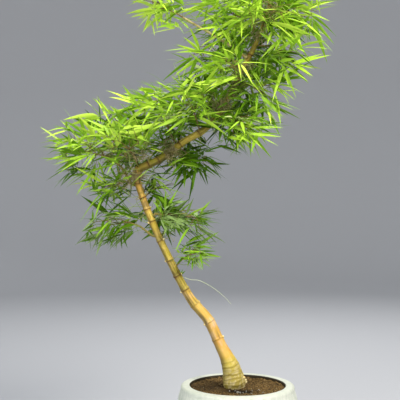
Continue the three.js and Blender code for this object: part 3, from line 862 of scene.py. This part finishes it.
def culm():
    """The culm: nodes with a scar and a ridge each, grooves above them, and a ringed foot."""
    dice = random.Random(3)
    side, other = sweep(culm_path)
    angles = turns_of(CULM_SIDES)
    relief, scar, band = ring_marks(angles, dice)
    groove, stripes, warm, green = length_marks(angles, dice)
    uneven = unevenness(angles, side, other)
    travelled = culm_steps[:, None] / MM
    relief += 0.35 * uneven - GROOVE_DEPTH * groove
    relief *= np.clip(culm_size / 0.009, 0.35, 1.6)[:, None]
    relief += bell(travelled, 34) * 1.5 * np.sin(5 * angles + 2 * uneven)
    relief -= FOOT_TUCK * bell(travelled, FOOT_TUCK_HEIGHT) * (0.7 + 0.5 * np.abs(uneven))
    spokes = spokes_about(side, other, angles)
    shapes = Shapes()
    grown = culm_size[:, None] + relief * MM
    shapes.add(culm_path[:, None, :] + spokes * grown[:, :, None], tube_faces(*grown.shape))
    piece = shapes.piece("culm_relief", golden_culm(), "culm", ["culm_lower", "culm_upper"])
    old = held(1.35 - travelled / 64)
    past_turn = travelled - culm_turn / MM
    near = 1 - ramp(past_turn, *NEAR_TURN)
    marks = {
        "scar": scar * (0.85 + 0.6 * uneven),
        "band": band * (0.8 + 0.8 * uneven),
        "groove": np.maximum(groove, 0.55 * stripes) * (0.7 + 0.6 * np.abs(uneven)),
        "warm": soften(held(warm), 3)[:, None],
        "green": green[:, None] + 0.8 * old * (0.5 + 0.5 * uneven),
        "old": old * (0.75 + 0.5 * uneven),
        # Painted shade on the downward-facing side, along the lower culm and a little past the turn.
        "under": near * ramp(-spokes[:, :, 2], 0.02, 0.3) * held(0.85 + 0.5 * uneven),
        "olive": ramp(past_turn, -10, 20) * (0.4 + 0.6 * near),
        "aged": ramp(travelled, *AGED_SKIN),
    }
    everywhere = np.zeros(grown.shape)
    for name, values in marks.items():
        paint(piece, name, held(values) + everywhere)
    paint(piece, "along", travelled + everywhere)
    paint(piece, "round", np.abs(turned(angles, 0)) + everywhere)


def turned(angles, at):
    """Angles measured from another one, from minus to plus half a turn."""
    return np.angle(np.exp(1j * (angles - at)))


def buds():
    """Buds on alternate sides at the nodes below the crown, and old buds on the foot."""
    dice = random.Random(17)
    shapes = Shapes()
    places = [(d, 1.3) for d in culm_nodes[:BUDDING_NODES]] + [(d * MM, 1.5) for d in FOOT_BUDS]
    for i, (distance, size) in enumerate(places):
        here = int(np.argmin(np.abs(culm_steps - distance)))
        along = unit(culm_path[here + 2] - culm_path[here - 2] if here > 2 else culm_path[4] - culm_path[0])
        hand = -1 if i % 2 and i < BUDDING_NODES else 1
        out = square_to(along, np.array([hand, dice.uniform(-0.5, 0.1), 0.0]))
        start = culm_path[here] + out * (culm_size[here] - 1.5 * MM)
        tip = start + out * dice.uniform(2.6, 3.6) * size * MM + along * dice.uniform(3, 5) * MM
        path = arc(start, tip, out * 0.8 * MM, 7)
        add_tube(shapes, path, np.array([2.2, 2.6, 2.6, 2.3, 1.8, 1.1, 0.3]) * size * MM, 8)
    shapes.piece("culm_buds", bark("bud", "efe0a4", "c9a860", 160), "culm")


def shoot():
    """One thin pale shoot that arches out from a node low on the culm."""
    start = culm_at(culm_nodes[SHOOT_NODE])
    reach = SHOOT_REACH * MM
    points = [start + np.array([x * reach, -0.1 * x * reach, z * reach]) for x, z in SHOOT_ARCH]
    shapes = Shapes()
    add_twig(shapes, bend(points, 26), *SHOOT_RADII)
    shapes.piece("shoot", bark("shoot", "b9c98a", "dfe6c4", 60), "culm")
    dice = random.Random(8)
    base = start + np.array([7, -2, 1]) * MM
    for lean in (-0.1, 0.35, 0.9):
        aim = unit(np.array([lean, -0.2, 1.0]))
        across = square_to(aim, np.array([1.0, 0.3, 0.0]))
        leaf_shapes["deep"].add(leaf_points(base, aim, across, 0.021, 0.1, 5.5, dice), LEAF_FACES)


pot()
soil()
culm()
buds()

# ---- foliage

# The leaves' tints. The first six are one green with light and shade painted in, from shade to light.
TINTS = {
    "shade": "4c7208",
    "deep": "659014",
    "mid": "86b02e",
    "fresh": "a8d03a",
    "bright": "b8de3e",
    "lime": "cbea50",
    "dull": "829c58",
    "pale": "d6e29a",
}
MATT_TINTS = ("shade", "deep", "mid", "dull")
leaf_shapes = {tint: Shapes() for tint in TINTS}
old_twigs, green_twigs, wiry_twigs = Shapes(), Shapes(), Shapes()
masses = sorted(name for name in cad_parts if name.startswith("leaves_"))
# Each mass under its name without "leaves_", with its middle and its half size.
spaces = []
for node in masses:
    low, high = (np.array(corner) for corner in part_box(node))
    spaces.append((node.removeprefix("leaves_"), (low + high) / 2, (high - low) / 2))
centres = np.array([centre for _, centre, _ in spaces])
halves = np.array([half for _, _, half in spaces])

# Knots of wiry twigs, in millimetres: distance past the culm's turn, how far across and up from there, size,
# and how many twigs.
TANGLES = [
    (0, 6, 32, 50, 170),
    (-26, -26, 0, 28, 80),
    (-18, 2, 3, 20, 110),
    (20, -86, 26, 26, 50),
    (98, 2, 6, 31, 180),
    (280, -8, 2, 36, 160),
    (334, 4, 0, 22, 60),
    (386, 0, 0, 28, 90),
    (480, 0, 0, 30, 60),
    (548, 0, 0, 30, 50),
    (616, 0, 0, 30, 40),
]

# The masses whose stem starts at a bough's tip. The others start on the culm.
HOSTS = {
    "low_left": "bough_low_left",
    "low_right": "bough_low_right",
    "left_tip": "bough_left",
    "spray_left": "bough_upper_left",
}
# What sets some masses apart: the least distance between sprays in metres, how far down and up they have
# twigs as shares of their half height, and how far left and right as shares of their half width.
FULL = (-1, 1)
HABITS = {
    "low_left": (0.03, (-0.75, 0.5), FULL),
    "low_right": (0.0245, (-1, 0.35), (-1, 0.35)),
    "low_right_under": (0.021, (-0.6, 1), (-1, 0.1)),
    "low_back": (0.024, (-1, 0.2), FULL),
    "left_under": (0.027, (-0.6, 1), FULL),
    "left_top": (SPRAY_GAP, (-1, 0.3), FULL),
    "left_tip": (0.028, FULL, (-0.65, 1)),
    "left_front": (0.027, FULL, FULL),
    "left_back": (0.027, FULL, FULL),
    "under_turn": (0.022, FULL, (-1, -0.38)),
    "middle_under": (0.021, (-0.35, 1), FULL),
    "middle_front": (0.026, FULL, FULL),
    "turn_back": (0.026, FULL, FULL),
    "right_low": (0.023, (-0.52, 1), (-1, 0.3)),
    "top_left": (0.022, FULL, FULL),
    "top_right": (SPRAY_GAP, FULL, (-1, 0.25)),
    "spray_left": (0.0205, (-0.5, 1), (-0.15, 1)),
    "upper_left": (SPRAY_GAP, (-1, 0), FULL),
    "upper_right": (SPRAY_GAP, FULL, (-1, 0.2)),
}
OTHERS = (SPRAY_GAP, FULL, FULL)
# The masses in the shade of the turn, and those that stand out into the light.
SHADED = ("under_turn", "middle_under")
SUNLIT = ("spray_left", "top_left", "left_under", "left_tip")
# The boughs with leafy twigs: how far outside the crown these may reach, and the size of their sprays.
LEAFY_BOUGHS = {
    "bough_low_left": (1.25, 0.66),
    "bough_low_right": (1.25, 0.66),
    "bough_upper_left": (1.7, 0.8),
}
BOUGH_STEPS = 24

# Leaves may pass the model's own furthest tips by this much.
PROUD = 0.012
reach_low = np.array(cad_low) - PROUD
reach_high = np.array(cad_high) + PROUD

# A leaf's outline: half width and place along its length, from its short stalk to its long fine tip.
LEAF_STATIONS = np.array([0.0, 0.05, 0.16, 0.36, 0.6, 0.82, 1.0])
LEAF_WIDTHS = np.array([0.12, 0.2, 0.86, 1.0, 0.72, 0.34, 0.0])
LEAF_FOLD = 0.32
LAST_EDGE = 3 * (len(LEAF_STATIONS) - 2)
LEAF_FACES = [
    [corner, corner + 1, corner + 4, corner + 3]
    for row in range(0, LAST_EDGE, 3)
    for corner in (row, row + 1)
] + [[LAST_EDGE, LAST_EDGE + 1, LAST_EDGE + 3], [LAST_EDGE + 1, LAST_EDGE + 2, LAST_EDGE + 3]]


def crown_depth(place):
    """0 in the middle of a mass, 1 at the crown's edge, more outside it."""
    return sqrt(np.sum(((place - centres) / halves) ** 2, axis=1).min())


def in_crown(place, slack=1.0):
    """Whether a place is in the space of some mass, and in the model's reach."""
    return bool(crown_depth(place) < slack and (place > reach_low).all() and (place < reach_high).all())


def leaf_points(base, aim, side, length, droop, slenderness, dice):
    """A blade folded along its midrib, which arches over by droop."""
    face = np.cross(aim, side)
    if face[2] < 0:
        face = -face
    width = length / slenderness / 2 * dice.uniform(0.75, 1.2)
    twist = dice.uniform(-0.5, 0.5)
    sway = dice.uniform(-0.05, 0.05)
    points = []
    for t, w in zip(LEAF_STATIONS, LEAF_WIDTHS):
        spine = base + aim * length * t + (-UP) * droop * length * t * t + side * sway * length * t * t
        across = side * cos(twist * t) + face * sin(twist * t)
        if w == 0:
            points.append(spine)
            continue
        edge = across * width * w
        fold = face * width * w * LEAF_FOLD
        points += [spine - edge + fold, spine, spine + edge + fold]
    return points


def add_spray(tip, heading, scale, tint, dice, count):
    """Alternate leaves in a fan at a twig's end. The first one may be a slender spear."""
    side = unit(np.cross(heading, UP) + 1e-6)
    side = swung(side, heading, dice.uniform(-0.8, 0.8))
    spear = dice.random() < SPEAR_SHARE
    for i in range(count):
        spread = radians(5 + 50 * (i / max(count - 1, 1)) ** 0.8 + dice.uniform(-9, 9))
        hand = 1 if i % 2 else -1
        lift = dice.uniform(-0.2, 0.16) * UP
        aim = unit(heading * cos(spread) + side * hand * sin(spread) + lift)
        base = tip - heading * 0.004 * i
        across = square_to(aim, side if spread < 0.9 else heading)
        across = swung(across, aim, dice.uniform(-0.8, 0.8))
        length = dice.triangular(*LEAF_LENGTHS) * MM * scale * (1 - 0.04 * i)
        slenderness = LEAF_SLENDERNESS * (0.3 + 0.7 * min(scale, 1))
        if spear and i == 0:
            slenderness = SPEAR_SLENDERNESS
        droop = dice.uniform(0.0, 0.2)
        slack = dice.uniform(1.05, 1.35) + (0.35 if dice.random() < 0.2 else 0)
        for _ in range(6):
            end = base + aim * length - UP * droop * length
            if in_crown(end, slack):
                break
            length *= 0.9
        else:
            continue
        if blocks_culm(base, end) or (hides_knot(base, end) and dice.random() < LEFT_OUT_SHARE):
            continue
        blade = leaf_points(base, aim, across, length, droop, slenderness, dice)
        leaf_shapes[tint].add(blade, LEAF_FACES)


# Stretches of the culm, in millimetres past the turn, and of one bough that nothing hides from the front.
BARE = [(-600, -42), (4, 74), (122, 198), (414, 456)]
past_turn = (culm_steps - culm_turn) / MM
bare_points = [culm_path[(past_turn > start) & (past_turn < end)][::6] for start, end in BARE]
bare_points = np.concatenate([*bare_points, bend(boughs["bough_upper_left"][0], 20)[14:]])


def blocks_culm(start, end, reach=0.011):
    """Whether a leaf or twig crosses in front of a stretch of the culm that shows."""
    for share in (0.0, 0.2, 0.4, 0.6, 0.8, 1.0):
        place = start + (end - start) * share
        flat = np.hypot(bare_points[:, 0] - place[0], bare_points[:, 2] - place[2])
        if (flat < reach).any() and place[1] < bare_points[np.argmin(flat), 1]:
            return True
    return False


knots = [
    (culm_at(culm_turn + along * MM) + np.array([across, -0.8 * size, up]) * MM, size * MM, count)
    for along, across, up, size, count in TANGLES
]


def hides_knot(start, end):
    """Whether a leaf crosses in front of the middle of a knot of twigs."""
    for middle, size, _ in knots:
        for share in (0.0, 0.25, 0.5, 0.75, 1.0):
            place = start + (end - start) * share
            if hypot(middle[0] - place[0], middle[2] - place[2]) < 0.68 * size and place[1] < middle[1]:
                return True
    return False


def from_culm(place):
    """The way from the nearest point of the culm's axis to a place."""
    return place - nearest_on_culm(place)


def is_low(name):
    """Whether a mass is one of those on the lower culm's thin branches."""
    return name.startswith("low")


def tint_at(place, name, dice):
    """A spray's tint: brighter towards the light and the crown's outside, duller low down."""
    # Painted light and shade: lighter on the side towards the light, at the crown's outside, up high and in
    # the masses that stand out into the light; darker inside the crown and in the masses shaded by the turn.
    gap = from_culm(place)
    high = np.clip((place[2] - 0.95) / 0.4, -0.6, 1)
    level = 0.22 + np.dot(gap, unit(LIGHT)) / 0.3 + 2.4 * norm(gap) + 0.27 * high
    level = min(level, 0.72 + 0.5 * high) + dice.gauss(0, 0.27)
    if name in SHADED:
        level -= 0.34
    if name in SUNLIT:
        level += 0.16
    if is_low(name):
        level = min(level - 0.14, 0.7)
        if dice.random() < DULL_SHARE:
            return "dull"
    if dice.random() < PALE_SHARE and norm(gap) > 0.1:
        return "pale"
    return list(TINTS)[int(np.clip(level * 5, 0, 5))]


def spray_at(tip, heading, name, scale, dice, count, outward=0.8):
    """A spray that turns outwards from the culm, more level than its twig."""
    out = unit(from_culm(tip) + 1e-6)
    out[2] *= 0.5
    out = swung(out, UP, dice.uniform(-1.1, 1.1))
    heading = unit(0.5 * heading + outward * out + 0.38 * cast(dice, (1, 1, 0.6)) + 0.03 * UP)
    add_spray(tip, heading, scale, tint_at(tip + heading * 0.04, name, dice), dice, count)


def stem_path(name, centre, half):
    """A mass's stem: from its bough's tip, or from the culm below its middle."""
    if name in HOSTS:
        rings = boughs[HOSTS[name]][0]
        return bend([rings[-1], rings[-1] + 0.6 * (rings[-1] - rings[-2]), centre], 9)
    start = nearest_on_culm(centre - UP * 0.3 * half[2])
    return arc(start, centre, UP * 0.01, 9)


tips = np.zeros((0, 3))


def grow(name, centre, half):
    """A mass by the model's rule: a stem, twigs round it by the golden angle, and finer twigs that reach
    every open place with a spray each."""
    global tips
    dice = random.Random("leaves_" + name)
    stem = stem_path(name, centre, half)
    add_twig(old_twigs, stem, *STEM_RADII, 6)
    turn = dice.uniform(0, 2 * pi)
    scale = LOW_SCALE if is_low(name) or name == "spray_left" else 1.0
    gap, heights, widths = HABITS.get(name, OTHERS)
    lowest, highest = (centre[2] + half[2] * share for share in heights)
    first, last = (centre[0] + half[0] * share for share in widths)
    wood = [stem[3:]]
    for k in range(TWIGS_PER_MASS):
        rise = 0.8 - 1.4 * (k + 0.5) / TWIGS_PER_MASS + dice.uniform(-0.15, 0.15)
        angle = turn + k * GOLDEN_ANGLE + dice.uniform(-0.4, 0.4)
        level = sqrt(max(1 - rise * rise, 0))
        aim = np.array([level * cos(angle), level * sin(angle), rise])
        start = stem[int(dice.uniform(0.4, 0.95) * (len(stem) - 1))]
        end = centre + aim * half * dice.uniform(0.4, 0.62)
        if blocks_culm(start, end):
            continue
        path = arc(start, end, (UP * 0.08 + aim * 0.05) * half[0], 8)
        add_twig(old_twigs, path, *TWIG_RADII)
        wood.append(path[1:])
    wood = np.concatenate(wood)
    for _ in range(TIP_TRIES):
        aim = unit(cast(dice))
        tip = centre + aim * half * dice.uniform(0.12, 1) ** 0.5 * 0.84
        off = norm(from_culm(tip))
        room = gap * np.interp(off, [0.03, 0.09], [0.78, 1.05]) * dice.uniform(0.8, 1.2)
        if len(tips) and norm(tips - tip, axis=1).min() < room:
            continue
        start = wood[np.argmin(norm(wood - tip, axis=1) + 0.02 * dice.random())]
        way = tip - start
        if not (lowest < tip[2] < highest and first < tip[0] < last and in_crown(tip, 0.88)):
            continue
        if blocks_culm(start, tip) or blocks_culm(tip, tip + unit(way) * 0.02):
            continue
        reach = norm(way)
        sway = cast(dice, (1, 1, 0.7), (0, 0, 0.4)) * 0.07 * reach
        path = arc(start, tip, sway, 6)
        add_twig(green_twigs if dice.random() < GREEN_SHARE else old_twigs, path, *FINE_RADII, 4)
        tips = np.vstack([tips, tip])
        inner = 0.7 if name == "under_turn" else 0.62
        size = scale * np.interp(off, [0.03, 0.1], [inner, 1.04])
        spray_at(tip, unit(path[-1] - path[-2]), name, size, dice, dice.randint(*LEAVES_PER_SPRAY))


def grow_from_nodes():
    """Short branchlets at the nodes inside the crown: bare, crooked and wiry, or in leaf."""
    dice = random.Random(26)
    for place in [culm_at(d) for d in culm_nodes[FIRST_LEAFY_NODE:]]:
        for k in range(BRANCHLETS):
            bare = k % 2 == 0
            aim = unit(cast(dice, (1, 0.8, 0.8), (0, -0.7, 0.1)))
            reach = dice.uniform(0.016, 0.05) if bare else dice.uniform(0.025, 0.07)
            tip = place + aim * reach
            if blocks_culm(place + aim * 0.014, tip) or not in_crown(tip, 1.3):
                continue
            crook = 0.24 if bare else 0.12
            sways = [cast(dice) * reach * crook for _ in range(2)]
            middle = [place + aim * reach * far + sway for far, sway in zip((0.4, 0.75), sways)]
            path = bend([place, *middle, tip], 9)
            add_twig(wiry_twigs if bare else green_twigs, path, *NODE_TWIG_RADII, 4)
            if not bare:
                across = np.array([dice.choice((-1, 1)), 0, dice.gauss(0, 0.5)])
                spray_at(tip, across, "node", 0.8, dice, dice.randint(3, 4), 0.2)


def grow_on_boughs():
    """Small leafy twigs along the low boughs and the upper left one."""
    dice = random.Random(12)
    for name, (slack, size) in LEAFY_BOUGHS.items():
        path = bend(boughs[name][0], BOUGH_STEPS)
        for k in range(3, BOUGH_STEPS):
            heading = unit(path[min(k + 1, BOUGH_STEPS - 1)] - path[k - 1])
            swing = square_to(heading, cast(dice, middles=(0, 0, -0.2)))
            aim = unit(0.6 * heading + 0.9 * swing)
            tip = path[k] + aim * dice.uniform(0.02, 0.045)
            if not in_crown(tip, slack) or blocks_culm(path[k] + aim * 0.012, tip):
                continue
            add_twig(green_twigs, arc(path[k], tip, UP * 2 * MM, 5), *BOUGH_TWIG_RADII, 4)
            spray_at(tip, aim, name.removeprefix("bough_"), size, dice, dice.randint(3, 4))


def tangles():
    """Knots of dead, wiry, curling twigs about some nodes inside the crown."""
    dice = random.Random(33)
    for middle, size, count in knots:
        for _ in range(count):
            path = [middle + cast(dice, (0.5, 0.3, 0.36)) * size]
            heading = unit(cast(dice, (1, 0.5, 1)))
            spin = unit(cast(dice))
            for _ in range(6):
                heading = unit(heading + 0.55 * np.cross(spin, heading))
                path.append(path[-1] + heading * dice.uniform(3, 6) * MM)
            if blocks_culm(path[0], path[3], 0.008) or blocks_culm(path[3], path[6], 0.008):
                continue
            add_twig(wiry_twigs, bend(path, 13), *WIRE_RADII, 3)
        for _ in range(count // 9):
            tip = middle + cast(dice, (0.5, 0.2, 0.4)) * size
            aim = unit(cast(dice, (1, 0.5, 0.7), (0, -0.5, 0)))
            # Painted shade: leaves inside a knot take the two darkest tints.
            add_spray(tip, aim, 0.45, dice.choice(("shade", "deep")), dice, 3)


shoot()
for name, centre, half in spaces:
    grow(name, centre, half)
grow_from_nodes()
grow_on_boughs()
tangles()


def bough_piece(name, material, nodes):
    """The model's boughs as knotted limbs that start inside the culm."""
    shapes = Shapes()
    for node in nodes:
        rings, radii = boughs[node]
        path = bend([nearest_on_culm(rings[0]), *rings], 40)
        radius = np.interp(np.linspace(0, 1, 40), np.linspace(0, 1, len(radii) + 1), [radii[0], *radii])
        knotted = 1 + 0.16 * bell(np.arange(40) % 8 - 4, 0.8)
        add_tube(shapes, path, radius * knotted, 12)
    shapes.piece(name, material, "bough", nodes)


bough_piece("limb_pale", bark("bough_pale", "cdbd80", "9c8a4c"), ["bough_upper_left"])
lower_boughs = [name for name in boughs if name != "bough_upper_left"]
bough_piece("limbs_olive", bark("bough_olive", "8f7c3c", "6c6a2e"), lower_boughs)
for tint, shapes in leaf_shapes.items():
    sheen = 0.1 if tint in MATT_TINTS else 0.25
    shapes.piece("foliage_" + tint, shader("leaf_" + tint, TINTS[tint], 0.5, sheen), "leaf", masses)
wiry_twigs.piece("twigs_wiry", bark("twig_wiry", "b3a676", "7f774a"), "bough")
old_twigs.piece("twigs_old", bark("twig_old", "8c7440", "6a5a30"), "bough")
green_twigs.piece("twigs_green", bark("twig_green", "7d9a3c", "99ab4e"), "bough")

# ---- studio

def studio():
    """A pale floor that turns up all round into a plain wall."""
    flat = STUDIO_RADIUS - STUDIO_ROUNDING
    profile = [(0.001, 0), (2, 0), (flat, 0)]
    profile += rounding(flat, STUDIO_ROUNDING, STUDIO_ROUNDING, 0.1 - pi / 2, 0, 12)
    profile += [(STUDIO_RADIUS, STUDIO_HEIGHT)]
    points = [(*around(radius, angle), height) for radius, height in profile for angle in turns_of(96)]
    material = shader("studio_floor", "b9babd", 0.9, 0.1)
    faces = grid_faces(len(profile), 96)
    in_scene("studio_floor", smooth_mesh("studio_floor", points, faces, material))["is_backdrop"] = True


def area_light(name, place, aim, size, power, colour=(1, 1, 1)):
    """A round light turned towards aim, with its size in metres and its power in watts."""
    data = bpy.data.lights.new(name, "AREA")
    data.shape = "DISK"
    data.size = size
    data.energy = power
    data.color = colour
    lamp = in_scene(name, data)
    lamp.location = place
    lamp.rotation_euler = (Vector(aim) - Vector(place)).to_track_quat("-Z", "Y").to_euler()


studio()
area_light("key", (1.55, -2.1, 3.1), (0.0, 0, 1.0), 1.6, 155, (1.0, 0.97, 0.92))
area_light("fill", (-2.3, -2.8, 2.2), (-0.1, 0, 0.6), 2.2, 92, (0.96, 0.98, 1.0))
area_light("back", (0.6, 2.6, 3.0), (-0.1, 0, 0.9), 2.2, 60)
world = bpy.data.worlds.new("studio")
world.use_nodes = True
sky = world.node_tree.nodes["Background"]
sky.inputs["Color"].default_value = (0.9, 0.95, 1.0, 1)
sky.inputs["Strength"].default_value = SKY_STRENGTH
scene = bpy.context.scene
scene.world = world
scene.view_settings.view_transform = "Standard"

camera = in_scene("camera", bpy.data.cameras.new("camera"))
camera.data.lens = CAMERA_LENS
camera.data.sensor_width = 36
camera.location = CAMERA_PLACE
camera.rotation_euler = (pi / 2, 0, 0)
scene.camera = camera

low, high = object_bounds()
